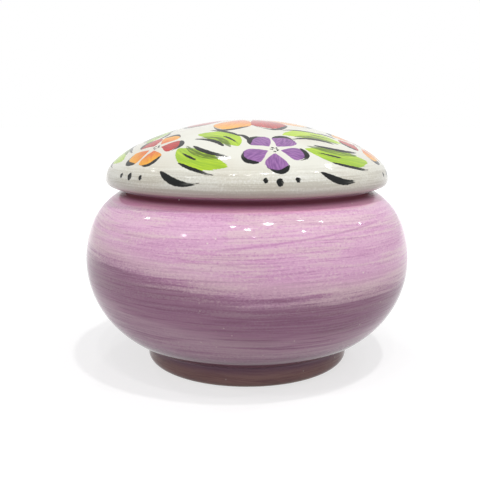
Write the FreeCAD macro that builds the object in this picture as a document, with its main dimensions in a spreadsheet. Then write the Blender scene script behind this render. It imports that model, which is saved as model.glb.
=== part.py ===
"""A small turned ceramic pyxis: a squat bellied bowl on a foot ring, and a domed lid that lifts off it.

The frame stands on the table: +Z is up the axis of turning, and the origin is the middle of the foot.
The bowl is modelled in that frame. The lid is modelled from its own seat plane and placed on the lip.
Every driving dimension is in the sheet below, in millimetres, with angles in degrees.
"""

import FreeCAD, Part
import math
import os

import Sketcher

SIZES = {
    # The bowl's outline
    "belly_radius": (55.0, "radius of the bowl where it is widest"),
    "belly_height": (35.9, "height of the bowl's widest line"),
    "upper_round": (32.4, "radius of the arc above the widest line"),
    "shoulder_angle": (22.4, "angle above the widest line where the shoulder begins"),
    "shoulder_round": (20.6, "radius of the shoulder's arc"),
    # The bowl's mouth
    "mouth_radius": (37.5, "radius of the mouth"),
    "lip_wall": (4.3, "thickness of the lip round the mouth"),
    "lip_rise": (1.4, "height of the lip's seat above the shoulder"),
    "lip_round": (0.6, "rounding of the lip's two edges"),
    "lip_root_round": (0.5, "fillet where the lip stands on the shoulder"),
    "mouth_round": (1.5, "rounding where the mouth opens into the hollow"),
    # The bowl's wall and foot
    "bowl_wall": (4.5, "thickness of the bowl's wall from its widest line up"),
    "floor_thick": (5.0, "thickness of the floor inside the foot ring"),
    "foot_radius": (35.0, "outer radius of the foot ring"),
    "foot_height": (6.8, "height where the belly meets the foot ring"),
    "foot_ring": (6.0, "width of the foot ring"),
    "foot_round": (2.6, "rounding of the foot's outer lower edge"),
    "foot_inner_round": (1.2, "rounding of the foot's inner lower edge"),
    "foot_root_round": (1.2, "fillet where the belly meets the foot"),
    "recess_depth": (4.2, "depth of the recess inside the foot ring"),
    "recess_round": (1.5, "fillet in the corner of the recess"),
    # The lid
    "lid_overhang": (5.7, "how far the lid reaches out past the lip"),
    "lid_rise": (21.6, "height of the lid's top above its seat"),
    "crown_angle": (24.5, "angle from the axis where the crown's arc ends"),
    "cheek_round": (32.4, "radius of the arc between the crown and the edge"),
    "edge_round": (7.7, "radius of the arc from the cheek to the widest line"),
    "edge_drop": (2.2, "height of the lid's widest line above its seat"),
    "lid_wall": (4.5, "thickness of the lid's dome and of its seat shelf"),
    "lid_play": (1.0, "gap between the lid's flange and the mouth"),
    "flange_depth": (6.0, "how far the flange reaches down into the mouth"),
    "flange_wall": (4.0, "thickness of the flange"),
    "flange_round": (1.0, "rounding of the flange's lower edges"),
    "flange_root_round": (0.8, "fillet where the flange meets the seat"),
    "hollow_round": (1.5, "fillets inside the lid's hollow"),
    # How far a cut runs past the face that it opens
    "overrun": (2.0, "how far each cut runs past the material"),
}

TOUCH = 1e-4  # how near two lengths are when they count as the same


def size(name):
    """The value of one driving dimension."""
    return SIZES[name][0]


def make_sheet(doc):
    """Writes the driving dimensions into the spreadsheet, one row each: name, value, meaning."""
    sheet = doc.addObject("Spreadsheet::Sheet", "Sizes")
    for row, (alias, (value, meaning)) in enumerate(SIZES.items(), start=1):
        sheet.set(f"A{row}", alias)
        sheet.set(f"B{row}", str(value))
        sheet.set(f"C{row}", meaning)
        sheet.setAlias(f"B{row}", alias)
    doc.recompute()
    return sheet


def make_body(doc, name):
    """One piece of the object, as a body whose label names its file."""
    body = doc.addObject("PartDesign::Body", name)
    body.Label = name
    return body


def origin_plane(body, role):
    """The body's own origin plane that has this role, such as XZ_Plane."""
    return next(item for item in body.Origin.OriginFeatures if item.Role == role)


def point(x, y):
    """A point of a sketch, across and up."""
    return FreeCAD.Vector(x, y, 0)


def polar(centre, radius, degrees):
    """The point on a circle at this angle, measured from the outward direction."""
    angle = math.radians(degrees)
    return centre[0] + radius * math.cos(angle), centre[1] + radius * math.sin(angle)


class Outline:
    """A closed half section in a body's XZ plane: pieces in order, each ending where the next begins."""

    # A sketch's own numbers for the points of a piece, and for its two axes
    START, END, CENTRE = range(1, 4)
    LEVEL_AXIS, UPRIGHT_AXIS = range(-1, -3, -1)
    ORIGIN = (LEVEL_AXIS, START)

    def __init__(self, body, name):
        self.sketch = body.newObject("Sketcher::SketchObject", name)
        self.sketch.AttachmentSupport = (origin_plane(body, "XZ_Plane"), [""])
        self.sketch.MapMode = "FlatFace"
        self.ends = {}

    def line(self, start, end):
        """Adds a straight piece from start to end, and returns its number."""
        piece = self.sketch.addGeometry(Part.LineSegment(point(*start), point(*end)))
        self.ends[piece] = (self.START, self.END)
        return piece

    def arc(self, centre, radius, first, last):
        """Adds an arc that is walked from the angle first to the angle last, either way round."""
        circle = Part.Circle(point(*centre), FreeCAD.Vector(0, 0, 1), radius)
        low, high = math.radians(min(first, last)), math.radians(max(first, last))
        piece = self.sketch.addGeometry(Part.ArcOfCircle(circle, low, high))
        forward = (self.START, self.END)
        self.ends[piece] = forward if first < last else forward[::-1]
        return piece

    def join(self, before, after, smooth=False):
        """Joins the end of one piece to the beginning of the next, tangent where smooth."""
        kind = "Tangent" if smooth else "Coincident"
        ends = (before, self.ends[before][1], after, self.ends[after][0])
        self.sketch.addConstraint(Sketcher.Constraint(kind, *ends))

    def level(self, *pieces):
        """Holds these lines level."""
        for piece in pieces:
            self.sketch.addConstraint(Sketcher.Constraint("Horizontal", piece))

    def upright(self, *pieces):
        """Holds these lines upright."""
        for piece in pieces:
            self.sketch.addConstraint(Sketcher.Constraint("Vertical", piece))

    def at_origin(self, piece, place):
        """Puts a point of a piece at the sketch's origin."""
        self.sketch.addConstraint(Sketcher.Constraint("Coincident", piece, place, *self.ORIGIN))

    def on_axis(self, piece, place):
        """Puts a point of a piece on the axis of turning."""
        self.sketch.addConstraint(Sketcher.Constraint("PointOnObject", piece, place, self.UPRIGHT_AXIS))

    def level_with_centre(self, piece, place):
        """Puts an end of an arc level with the arc's own centre."""
        ends = (piece, self.CENTRE, piece, place)
        self.sketch.addConstraint(Sketcher.Constraint("DistanceY", *ends, 0))

    def bind(self, constraint, name, expression):
        """Adds a dimension under a name and ties it to the sheet by an expression."""
        number = self.sketch.addConstraint(constraint)
        self.sketch.renameConstraint(number, name)
        self.sketch.setExpression(f"Constraints.{name}", expression)

    def across(self, name, piece, place, value, expression):
        """Sets how far a point of a piece is from the axis."""
        self.bind(Sketcher.Constraint("DistanceX", *self.ORIGIN, piece, place, value), name, expression)

    def up(self, name, piece, place, value, expression):
        """Sets how high a point of a piece is above the sketch's origin."""
        self.bind(Sketcher.Constraint("DistanceY", *self.ORIGIN, piece, place, value), name, expression)

    def rise(self, name, low, high, value, expression):
        """Sets the height from one point to another, each given as a piece and a place on it."""
        self.bind(Sketcher.Constraint("DistanceY", *low, *high, value), name, expression)

    def radius(self, name, piece, value, expression):
        """Sets the radius of an arc."""
        self.bind(Sketcher.Constraint("Radius", piece, value), name, expression)

    def span(self, name, piece, degrees, expression):
        """Sets the angle that an arc covers."""
        self.bind(Sketcher.Constraint("Angle", piece, math.radians(degrees)), name, expression)

    def read(self, name, constraint):
        """Adds a dimension that drives nothing, so that other pieces can read it by name."""
        number = self.sketch.addConstraint(constraint)
        self.sketch.renameConstraint(number, name)
        self.sketch.setDriving(number, False)


def turn(body, kind, name, outline):
    """Turns an outline through a full circle, as a PartDesign Revolution or Groove."""
    feature = body.newObject(f"PartDesign::{kind}", name)
    feature.Profile = outline.sketch
    feature.ReferenceAxis = (outline.sketch, ["V_Axis"])
    feature.Angle = 360
    outline.sketch.Visibility = False
    body.Document.recompute()
    return feature


def cut(body, name, outline):
    """Turns an outline as a cut, and makes sure that it took material away."""
    before = body.Shape.Volume
    feature = turn(body, "Groove", name, outline)
    if body.Shape.Volume > before - TOUCH:
        raise RuntimeError(f"{name} cuts nothing")
    return feature


def circle_edge(feature, radius, height):
    """The name of a feature's round edge at this radius and height in its body's own frame."""
    for number, edge in enumerate(feature.Shape.Edges, start=1):
        if edge.Degenerated:
            continue
        curve = edge.Curve
        if not isinstance(curve, Part.Circle) or abs(curve.Axis.z) < 1 - TOUCH:
            continue
        if abs(curve.Radius - radius) < TOUCH and abs(curve.Center.z - height) < TOUCH:
            return f"Edge{number}"
    raise RuntimeError(f"{feature.Name} has no edge of radius {radius:.3f} at height {height:.3f}")


def round_edges(body, base, name, places, alias):
    """Fillets the round edges at these (radius, height) places with a radius from the sheet."""
    feature = body.newObject("PartDesign::Fillet", name)
    feature.Base = (base, [circle_edge(base, *place) for place in places])
    feature.setExpression("Radius", f"Sizes.{alias}")
    body.Document.recompute()
    return feature


class BowlPlaces:
    """Centres, radii and heights of the bowl that follow from its driving dimensions."""

    def __init__(self):
        belly, height = size("belly_radius"), size("belly_height")
        in_from_belly, down_to_foot = belly - size("foot_radius"), height - size("foot_height")
        self.lower_round = (in_from_belly**2 + down_to_foot**2) / (2 * in_from_belly)
        self.lower_centre = (belly - self.lower_round, height)
        self.foot_angle = -math.degrees(math.asin(down_to_foot / self.lower_round))
        self.upper_centre = (belly - size("upper_round"), height)
        offset = size("upper_round") - size("shoulder_round")
        self.shoulder_centre = polar(self.upper_centre, offset, size("shoulder_angle"))
        self.lip_radius = size("mouth_radius") + size("lip_wall")
        self.lip_angle, self.lip_root = self.shoulder_at(self.lip_radius, size("shoulder_round"))
        self.seat_height = self.lip_root + size("lip_rise")
        inner_shoulder = size("shoulder_round") - size("bowl_wall")
        self.mouth_angle, self.mouth_root = self.shoulder_at(size("mouth_radius"), inner_shoulder)
        self.floor_height = size("recess_depth") + size("floor_thick")
        self.inner_lower = height - self.floor_height
        self.inner_centre = (belly - size("bowl_wall") - self.inner_lower, height)
        self.recess_radius = size("foot_radius") - size("foot_ring")

    def shoulder_at(self, across, arc_radius):
        """The angle and height at which an arc about the shoulder's centre is this far from the axis."""
        angle = math.degrees(math.acos((across - self.shoulder_centre[0]) / arc_radius))
        return angle, polar(self.shoulder_centre, arc_radius, angle)[1]


def bowl_outline(body, place):
    """The bowl's outer half section: foot, belly, shoulder and lip."""
    foot, foot_height, foot_round = size("foot_radius"), size("foot_height"), size("foot_round")
    upper, shoulder, shoulder_angle = size("upper_round"), size("shoulder_round"), size("shoulder_angle")
    seat = (place.lip_radius, place.seat_height)
    out = Outline(body, "bowl_outline")
    ground = out.line((0, 0), (foot - foot_round, 0))
    toe = out.arc((foot - foot_round, foot_round), foot_round, -90, 0)
    heel = out.line((foot, foot_round), (foot, foot_height))
    lower_belly = out.arc(place.lower_centre, place.lower_round, place.foot_angle, 0)
    upper_belly = out.arc(place.upper_centre, upper, 0, shoulder_angle)
    shoulder_arc = out.arc(place.shoulder_centre, shoulder, shoulder_angle, place.lip_angle)
    lip = out.line((place.lip_radius, place.lip_root), seat)
    top = out.line(seat, (0, place.seat_height))
    axis = out.line((0, place.seat_height), (0, 0))
    for before, after in ((ground, toe), (toe, heel), (lower_belly, upper_belly), (upper_belly, shoulder_arc)):
        out.join(before, after, smooth=True)
    for before, after in ((heel, lower_belly), (shoulder_arc, lip), (lip, top), (top, axis), (axis, ground)):
        out.join(before, after)
    out.level(ground, top)
    out.upright(heel, lip, axis)
    out.at_origin(ground, out.START)
    out.radius("foot_round", toe, foot_round, "Sizes.foot_round")
    out.across("foot_radius", heel, out.END, foot, "Sizes.foot_radius")
    out.up("foot_height", heel, out.END, foot_height, "Sizes.foot_height")
    out.across("belly_radius", lower_belly, out.END, size("belly_radius"), "Sizes.belly_radius")
    out.up("belly_height", lower_belly, out.END, size("belly_height"), "Sizes.belly_height")
    out.level_with_centre(lower_belly, out.END)
    out.radius("upper_round", upper_belly, upper, "Sizes.upper_round")
    out.span("shoulder_angle", upper_belly, shoulder_angle, "Sizes.shoulder_angle * 1 deg")
    out.radius("shoulder_round", shoulder_arc, shoulder, "Sizes.shoulder_round")
    out.across("lip_radius", lip, out.END, place.lip_radius, "Sizes.mouth_radius + Sizes.lip_wall")
    out.rise("lip_rise", (lip, out.START), (lip, out.END), size("lip_rise"), "Sizes.lip_rise")
    out.read("seat_height", Sketcher.Constraint("DistanceY", *out.ORIGIN, lip, out.END, place.seat_height))
    return out


def bowl_hollow(body, place):
    """The bowl's inner half section: a level floor, one round up to the widest line, and the shoulder."""
    wall, mouth, shoulder_angle = size("bowl_wall"), size("mouth_radius"), size("shoulder_angle")
    upper, shoulder = size("upper_round") - wall, size("shoulder_round") - wall
    above = place.seat_height + size("overrun")
    out = Outline(body, "bowl_hollow")
    floor = out.line((0, place.floor_height), (place.inner_centre[0], place.floor_height))
    lower_belly = out.arc(place.inner_centre, place.inner_lower, -90, 0)
    upper_belly = out.arc(place.upper_centre, upper, 0, shoulder_angle)
    shoulder_arc = out.arc(place.shoulder_centre, shoulder, shoulder_angle, place.mouth_angle)
    mouth_wall = out.line((mouth, place.mouth_root), (mouth, above))
    top = out.line((mouth, above), (0, above))
    axis = out.line((0, above), (0, place.floor_height))
    for before, after in ((floor, lower_belly), (lower_belly, upper_belly), (upper_belly, shoulder_arc)):
        out.join(before, after, smooth=True)
    for before, after in ((shoulder_arc, mouth_wall), (mouth_wall, top), (top, axis), (axis, floor)):
        out.join(before, after)
    out.level(floor, top)
    out.upright(mouth_wall, axis)
    out.on_axis(floor, out.START)
    out.up("floor_height", floor, out.START, place.floor_height, "Sizes.recess_depth + Sizes.floor_thick")
    inside = size("belly_radius") - wall
    out.across("widest_inside", lower_belly, out.END, inside, "Sizes.belly_radius - Sizes.bowl_wall")
    out.up("belly_height", lower_belly, out.END, size("belly_height"), "Sizes.belly_height")
    out.level_with_centre(lower_belly, out.END)
    out.radius("upper_inside", upper_belly, upper, "Sizes.upper_round - Sizes.bowl_wall")
    out.span("shoulder_angle", upper_belly, shoulder_angle, "Sizes.shoulder_angle * 1 deg")
    out.radius("shoulder_inside", shoulder_arc, shoulder, "Sizes.shoulder_round - Sizes.bowl_wall")
    out.across("mouth_radius", mouth_wall, out.END, mouth, "Sizes.mouth_radius")
    out.up("above", mouth_wall, out.END, above, "bowl_outline.Constraints.seat_height + Sizes.overrun * 1 mm")
    return out


def foot_recess(body, place):
    """The half section of the shallow recess inside the foot ring."""
    below, depth = -size("overrun"), size("recess_depth")
    out = Outline(body, "foot_recess")
    bottom = out.line((0, below), (place.recess_radius, below))
    side = out.line((place.recess_radius, below), (place.recess_radius, depth))
    ceiling = out.line((place.recess_radius, depth), (0, depth))
    axis = out.line((0, depth), (0, below))
    for before, after in ((bottom, side), (side, ceiling), (ceiling, axis), (axis, bottom)):
        out.join(before, after)
    out.level(bottom, ceiling)
    out.upright(side, axis)
    out.on_axis(bottom, out.START)
    out.across("recess_radius", side, out.END, place.recess_radius, "Sizes.foot_radius - Sizes.foot_ring")
    out.up("recess_depth", side, out.END, depth, "Sizes.recess_depth")
    whole = "Sizes.recess_depth + Sizes.overrun"
    out.rise("cut_height", (side, out.START), (side, out.END), depth - below, whole)
    return out


def make_bowl(doc):
    """The bowl: turned outside, hollowed, recessed under the floor, and rounded at its edges."""
    place = BowlPlaces()
    body = make_body(doc, "bowl")
    turn(body, "Revolution", "bowl_blank", bowl_outline(body, place))
    cut(body, "hollow", bowl_hollow(body, place))
    feature = cut(body, "recess", foot_recess(body, place))
    mouth_edge = [(size("mouth_radius"), place.mouth_root)]
    feature = round_edges(body, feature, "mouth_edge", mouth_edge, "mouth_round")
    lip_root = [(place.lip_radius, place.lip_root)]
    feature = round_edges(body, feature, "lip_root", lip_root, "lip_root_round")
    lip_edges = [(size("mouth_radius"), place.seat_height), (place.lip_radius, place.seat_height)]
    feature = round_edges(body, feature, "lip_edges", lip_edges, "lip_round")
    foot_root = [(size("foot_radius"), size("foot_height"))]
    feature = round_edges(body, feature, "foot_root", foot_root, "foot_root_round")
    recess_corner = [(place.recess_radius, size("recess_depth"))]
    feature = round_edges(body, feature, "recess_corner", recess_corner, "recess_round")
    feature = round_edges(body, feature, "foot_inner_edge", [(place.recess_radius, 0)], "foot_inner_round")
    body.Tip = feature
    return body


class LidPlaces:
    """Centres, radii and angles of the lid, from its seat plane, that follow from its driving dimensions."""

    def __init__(self):
        self.lid_radius = size("mouth_radius") + size("lip_wall") + size("lid_overhang")
        self.edge_centre = (self.lid_radius - size("edge_round"), size("edge_drop"))
        cheek, edge, crown_turn = size("cheek_round"), size("edge_round"), math.radians(size("crown_angle"))
        height = size("lid_rise") - size("edge_drop")
        spread = self.edge_centre[0] + cheek * math.sin(crown_turn)
        lean = math.tan(crown_turn / 2) * spread - height + cheek * math.cos(crown_turn)
        edge_turn = crown_turn / 2 + math.acos(math.cos(crown_turn / 2) * lean / (cheek - edge))
        self.crown_round = (spread - (cheek - edge) * math.sin(edge_turn)) / math.sin(crown_turn)
        self.crown_centre = (0, size("lid_rise") - self.crown_round)
        self.crown_start = 90 - size("crown_angle")
        self.cheek_start = 90 - math.degrees(edge_turn)
        self.cheek_centre = polar(self.crown_centre, self.crown_round - cheek, self.crown_start)
        self.flange_radius = size("mouth_radius") - size("lid_play")
        self.bore_radius = self.flange_radius - size("flange_wall")
        inner_cheek = cheek - size("lid_wall")
        self.shelf_angle = math.degrees(math.asin((size("lid_wall") - self.cheek_centre[1]) / inner_cheek))
        self.shelf_radius = polar(self.cheek_centre, inner_cheek, self.shelf_angle)[0]


def lid_outline(body, place):
    """The lid's outer half section: level seat, rounded edge, cheek, and a crown of whatever radius fits."""
    drop, edge, cheek_round = size("edge_drop"), size("edge_round"), size("cheek_round")
    out = Outline(body, "lid_outline")
    seat = out.line((0, 0), (place.lid_radius - drop, 0))
    under = out.arc((place.lid_radius - drop, drop), drop, -90, 0)
    edge_arc = out.arc(place.edge_centre, edge, 0, place.cheek_start)
    cheek = out.arc(place.cheek_centre, cheek_round, place.cheek_start, place.crown_start)
    crown = out.arc(place.crown_centre, place.crown_round, place.crown_start, 90)
    axis = out.line((0, size("lid_rise")), (0, 0))
    for before, after in ((seat, under), (under, edge_arc), (edge_arc, cheek), (cheek, crown)):
        out.join(before, after, smooth=True)
    for before, after in ((crown, axis), (axis, seat)):
        out.join(before, after)
    out.level(seat)
    out.upright(axis)
    out.at_origin(seat, out.START)
    out.on_axis(crown, out.CENTRE)
    widest = "Sizes.mouth_radius + Sizes.lip_wall + Sizes.lid_overhang"
    out.across("lid_radius", under, out.END, place.lid_radius, widest)
    out.up("edge_drop", under, out.END, drop, "Sizes.edge_drop")
    out.level_with_centre(edge_arc, out.START)
    out.radius("edge_round", edge_arc, edge, "Sizes.edge_round")
    out.radius("cheek_round", cheek, cheek_round, "Sizes.cheek_round")
    out.up("lid_rise", crown, out.END, size("lid_rise"), "Sizes.lid_rise")
    out.span("crown_angle", crown, size("crown_angle"), "Sizes.crown_angle * 1 deg")
    out.read("crown_round", Sketcher.Constraint("Radius", crown, place.crown_round))
    return out


def dome_hollow(body, place):
    """The half section of the hollow under the dome: one wall thickness in, above the seat's shelf."""
    wall, rise = size("lid_wall"), size("lid_rise")
    inner_crown, inner_cheek = place.crown_round - wall, size("cheek_round") - wall
    out = Outline(body, "dome_hollow")
    shelf = out.line((0, wall), (place.shelf_radius, wall))
    cheek = out.arc(place.cheek_centre, inner_cheek, place.shelf_angle, place.crown_start)
    crown = out.arc(place.crown_centre, inner_crown, place.crown_start, 90)
    axis = out.line((0, rise - wall), (0, wall))
    out.join(cheek, crown, smooth=True)
    for before, after in ((shelf, cheek), (crown, axis), (axis, shelf)):
        out.join(before, after)
    out.level(shelf)
    out.upright(axis)
    out.on_axis(shelf, out.START)
    out.on_axis(crown, out.CENTRE)
    out.up("shelf", shelf, out.START, wall, "Sizes.lid_wall")
    out.up("ceiling", crown, out.END, rise - wall, "Sizes.lid_rise - Sizes.lid_wall")
    out.radius("inner_cheek", cheek, inner_cheek, "Sizes.cheek_round - Sizes.lid_wall")
    inner = "lid_outline.Constraints.crown_round - Sizes.lid_wall * 1 mm"
    out.radius("inner_crown", crown, inner_crown, inner)
    out.span("crown_angle", crown, size("crown_angle"), "Sizes.crown_angle * 1 deg")
    return out


def flange_ring(body, place):
    """The half section of the ring under the seat that keeps the lid in the middle of the mouth."""
    depth, radius = size("flange_depth"), place.flange_radius
    out = Outline(body, "flange_ring")
    bottom = out.line((0, -depth), (radius, -depth))
    side = out.line((radius, -depth), (radius, 0))
    top = out.line((radius, 0), (0, 0))
    axis = out.line((0, 0), (0, -depth))
    for before, after in ((bottom, side), (side, top), (top, axis), (axis, bottom)):
        out.join(before, after)
    out.level(bottom, top)
    out.upright(side, axis)
    out.at_origin(axis, out.START)
    out.across("flange_radius", side, out.END, radius, "Sizes.mouth_radius - Sizes.lid_play")
    out.rise("flange_depth", (side, out.START), (side, out.END), depth, "Sizes.flange_depth")
    return out


def flange_bore(body, place):
    """The half section of the round way up through the flange and the shelf into the hollow."""
    below, above = -size("flange_depth") - size("overrun"), size("lid_wall")
    out = Outline(body, "flange_bore")
    bottom = out.line((0, below), (place.bore_radius, below))
    side = out.line((place.bore_radius, below), (place.bore_radius, above))
    top = out.line((place.bore_radius, above), (0, above))
    axis = out.line((0, above), (0, below))
    for before, after in ((bottom, side), (side, top), (top, axis), (axis, bottom)):
        out.join(before, after)
    out.level(bottom, top)
    out.upright(side, axis)
    out.on_axis(bottom, out.START)
    bore = "Sizes.mouth_radius - Sizes.lid_play - Sizes.flange_wall"
    out.across("bore_radius", side, out.END, place.bore_radius, bore)
    out.up("above", side, out.END, above, "Sizes.lid_wall")
    whole = "Sizes.flange_depth + Sizes.overrun + Sizes.lid_wall"
    out.rise("bore_length", (side, out.START), (side, out.END), above - below, whole)
    return out


def make_lid(doc):
    """The lid: a turned dome with a flange, hollowed, rounded at its edges and seated on the lip."""
    place = LidPlaces()
    body = make_body(doc, "lid")
    turn(body, "Revolution", "lid_blank", lid_outline(body, place))
    turn(body, "Revolution", "flange", flange_ring(body, place))
    cut(body, "hollow_under_dome", dome_hollow(body, place))
    feature = cut(body, "way_through_flange", flange_bore(body, place))
    wall, depth = size("lid_wall"), size("flange_depth")
    hollow_edges = [(place.shelf_radius, wall), (place.bore_radius, wall)]
    feature = round_edges(body, feature, "hollow_edges", hollow_edges, "hollow_round")
    feature = round_edges(body, feature, "flange_root", [(place.flange_radius, 0)], "flange_root_round")
    flange_edges = [(place.bore_radius, -depth), (place.flange_radius, -depth)]
    feature = round_edges(body, feature, "flange_edges", flange_edges, "flange_round")
    body.Tip = feature
    body.setExpression("Placement.Base.z", "bowl_outline.Constraints.seat_height")
    return body


def check(doc, pieces):
    """Stops the build unless every object is sound and every piece is one valid solid."""
    for item in doc.Objects:
        if "Invalid" in item.State or "Error" in item.State:
            raise RuntimeError(f"{item.Label} failed: {item.State}")
    for sketch in doc.findObjects("Sketcher::SketchObject"):
        if sketch.solve() != 0 or not sketch.FullyConstrained:
            raise RuntimeError(f"{sketch.Label} is not fully constrained")
    for piece in pieces:
        shape = piece.Shape
        if shape.isNull() or not shape.isValid() or len(shape.Solids) != 1:
            raise RuntimeError(f"{piece.Label} is not one valid solid")


def main():
    """Builds the document and writes each piece to its own STEP file."""
    doc = FreeCAD.newDocument("pyxis")
    make_sheet(doc)
    pieces = [make_bowl(doc), make_lid(doc)]
    doc.recompute()
    check(doc, pieces)
    os.makedirs("parts", exist_ok=True)
    for piece in pieces:
        piece.Shape.exportStep(os.path.join("parts", f"{piece.Label}.step"))
        centimetres = piece.Shape.Volume / 10**3
        print(f"{piece.Label}: {centimetres:.1f} cm3 of clay")


main()
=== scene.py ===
"""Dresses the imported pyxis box: a bowl brushed with lilac glaze, and a white lid painted with flowers.

Both pieces are turned again from their profiles with many fine rings, so that the brushed glaze can follow
the profile and the flowers can be laid on the dome stroke by stroke. Sizes of the pieces are in metres, in
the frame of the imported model. Places inside the materials and the painting are in millimetres.
"""

import logging
import math
import random
from dataclasses import dataclass
from enum import Enum
from typing import Any

import bmesh
import bpy
import numpy as np
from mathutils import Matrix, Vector, noise


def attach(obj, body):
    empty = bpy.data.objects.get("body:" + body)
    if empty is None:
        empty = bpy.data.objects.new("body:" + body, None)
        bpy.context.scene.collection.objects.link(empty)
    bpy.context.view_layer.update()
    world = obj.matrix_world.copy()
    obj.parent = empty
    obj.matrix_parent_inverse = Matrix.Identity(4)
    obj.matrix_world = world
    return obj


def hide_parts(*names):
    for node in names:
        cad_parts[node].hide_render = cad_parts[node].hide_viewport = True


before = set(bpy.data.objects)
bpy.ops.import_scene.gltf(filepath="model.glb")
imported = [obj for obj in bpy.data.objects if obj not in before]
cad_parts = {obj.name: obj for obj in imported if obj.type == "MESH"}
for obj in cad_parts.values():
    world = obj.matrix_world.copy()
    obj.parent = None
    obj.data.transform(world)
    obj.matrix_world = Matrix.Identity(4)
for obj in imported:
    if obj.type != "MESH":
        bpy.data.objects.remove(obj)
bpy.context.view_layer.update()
MM = 0.001
GLAZE_EDGE = 0.2
SEAT_HEIGHT = 60.655 * MM
WALL = 4.5 * MM
DENTS_PER_METRE = 30
LOG = logging.getLogger("pyxis")

Socket = bpy.types.NodeSocket
Material = bpy.types.Material
Colour = tuple[float, float, float, float]
Fade = tuple[float, float]
Band = tuple[float, float, float, float]


def tint(red: int, green: int, blue: int) -> Colour:
    """Turns a colour as it looks on a screen into the renderer's own numbers.

    Args:
        red: its red, from 0 to 255.
        green: its green, from 0 to 255.
        blue: its blue, from 0 to 255.

    Returns:
        The colour.
    """
    levels = [value / 255 for value in (red, green, blue)]
    linear = [level / 12.92 if level < 0.04045 else ((level + 0.055) / 1.055) ** 2.4 for level in levels]
    return (*linear, 1.0)


def grey(level: float) -> Colour:
    """Returns a grey of the given brightness, in the renderer's own numbers."""
    return (level, level, level, 1.0)


def put(name: str, data: bpy.types.ID) -> bpy.types.Object:
    """Puts a new object in the scene.

    Args:
        name: its name.
        data: its mesh, light or camera.

    Returns:
        The new object.
    """
    made = bpy.data.objects.new(name, data)
    bpy.context.scene.collection.objects.link(made)
    return made


class Value:
    """A number that varies over a surface: a socket on which plain arithmetic adds Math nodes."""

    def __init__(self, bench: "Bench", socket: Socket) -> None:
        """Keeps the bench that holds the nodes, and the socket that the number comes from."""
        self.bench = bench
        self.socket = socket

    def math(self, operation: str, *terms: "Value | float") -> "Value":
        """Returns the result of one Math node on the terms."""
        return self.bench.number("ShaderNodeMath", {"operation": operation}, dict(enumerate(terms)))

    def __add__(self, other: "Value | float") -> "Value":
        """Returns the sum."""
        return self.math("ADD", self, other)

    def __radd__(self, other: float) -> "Value":
        """Returns the sum with a plain number on the left."""
        return self.math("ADD", other, self)

    def __sub__(self, other: "Value | float") -> "Value":
        """Returns the difference."""
        return self.math("SUBTRACT", self, other)

    def __rsub__(self, other: float) -> "Value":
        """Returns a plain number less this one."""
        return self.math("SUBTRACT", other, self)

    def __mul__(self, other: "Value | float") -> "Value":
        """Returns the product."""
        return self.math("MULTIPLY", self, other)

    def __truediv__(self, other: "Value | float") -> "Value":
        """Returns the quotient."""
        return self.math("DIVIDE", self, other)

    def __pow__(self, other: float) -> "Value":
        """Returns this number raised to a power."""
        return self.math("POWER", self, other)

    def __abs__(self) -> "Value":
        """Returns the distance from nought."""
        return self.math("ABSOLUTE", self)

    def over(self, other: "Value | float") -> "Value":
        """Returns the larger of the two."""
        return self.math("MAXIMUM", self, other)

    def under(self, other: "Value | float") -> "Value":
        """Returns the smaller of the two."""
        return self.math("MINIMUM", self, other)

    def rise(self, low: float, high: float) -> "Value":
        """Returns 0 below the low number and 1 above the high one, with a smooth rise between them."""
        inputs = {"Value": self, "From Min": low, "From Max": high}
        return self.bench.number("ShaderNodeMapRange", {"interpolation_type": "SMOOTHSTEP"}, inputs)

    def fall(self, low: float, high: float) -> "Value":
        """Returns 1 below the low number and 0 above the high one, with a smooth fall between them."""
        return 1 - self.rise(low, high)

    def band(self, low: float, full: float, wane: float, high: float) -> "Value":
        """Returns 1 between the two middle numbers and 0 outside the outer two."""
        return self.rise(low, full) * self.fall(wane, high)


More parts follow.
